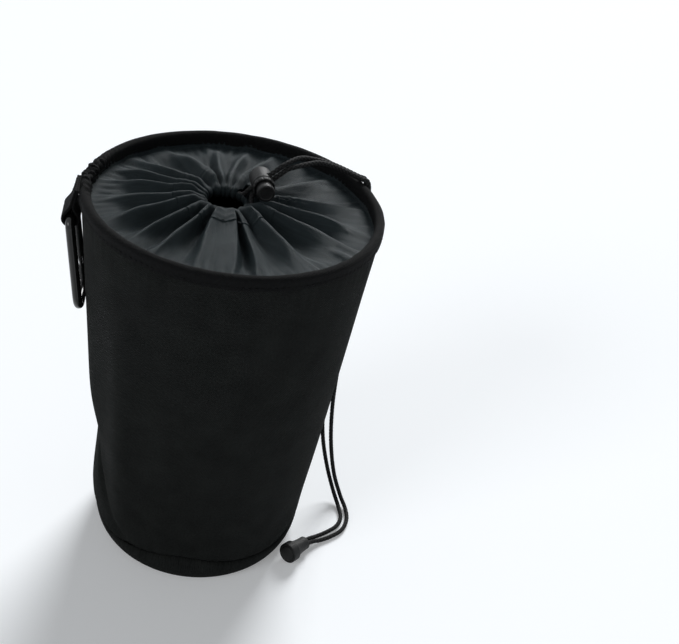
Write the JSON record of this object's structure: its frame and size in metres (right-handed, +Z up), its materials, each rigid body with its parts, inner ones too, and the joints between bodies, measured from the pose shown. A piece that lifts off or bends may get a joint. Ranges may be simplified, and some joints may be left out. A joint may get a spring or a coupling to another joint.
{
  "type": "peg bag",
  "caption": "Soft tapered round peg bag with a hooped rim, a gathered drawstring mouth with cord lock and bell, and a snap hook on a webbing loop to hang it from a line or rack.",
  "frame": {"origin": "middle of the flat base, on the surface the bag stands on", "axes": "+Z up through the mouth; -X towards the webbing loop and hook; the drawstring's free end lies towards +X"},
  "size_m": [0.1894, 0.16, 0.2483],
  "materials": {
    "oxford_cloth": "matt coarse plain weave",
    "binding_tape": "matt ribbed tape",
    "satin_lining": "satin, close fine weave",
    "webbing": "matt ribbed webbing",
    "braided_cord": "matt round braid",
    "lock_plastic": "semi-matt moulded",
    "black_enamel": "gloss black over metal",
    "spring_steel": "plain bright wire"
  },
  "bodies": {
    "bag": {"body_panel": "oxford_cloth", "base_panel": "oxford_cloth", "base_seam_tape": "binding_tape", "side_seam_tape": "binding_tape", "rim_binding": "binding_tape", "rim_hoop": "spring_steel", "gather_collar": "satin_lining", "cord_casing": "satin_lining", "drawstring_loop": "braided_cord", "drawstring_tail_front": "braided_cord", "drawstring_tail_back": "braided_cord", "cord_end_bell": "lock_plastic", "cord_end_cap": "lock_plastic", "cord_end_knot": "braided_cord", "hanging_loop": "webbing"},
    "cord_lock": {"lock_barrel": "lock_plastic", "lock_spring": "spring_steel"},
    "button": {"lock_button": "lock_plastic"},
    "hook": {"hook_frame": "black_enamel", "latch_pin": "spring_steel"},
    "gate": {"hook_gate": "black_enamel", "gate_pivot_pin": "spring_steel", "gate_plunger": "spring_steel", "gate_spring": "spring_steel"}
  },
  "joints": [
    {"name": "lock_slide", "type": "slide", "parent": "bag", "child": "cord_lock", "axis": [0.7269, 0.1545, 0.6691], "range_m": [0, 0.008]},
    {"name": "button_press", "type": "slide", "parent": "cord_lock", "child": "button", "axis": [-0.2079, 0.9781, 0], "range_m": [0, 0.0028], "stiffness_N_per_m": 500, "deforming": ["lock_spring"]},
    {"name": "hook_swing", "type": "hinge", "parent": "bag", "child": "hook", "pos_m": [-0.08332, -0.00729, 0.2115], "axis": [-0.0872, 0.9962, 0], "range_deg": [0, 175]},
    {"name": "gate_open", "type": "hinge", "parent": "hook", "child": "gate", "pos_m": [-0.08327, 0.00556, 0.20059], "axis": [-0.9904, -0.0867, -0.1073], "range_deg": [0, 26], "stiffness_Nm_per_rad": 0.02}
  ]
}
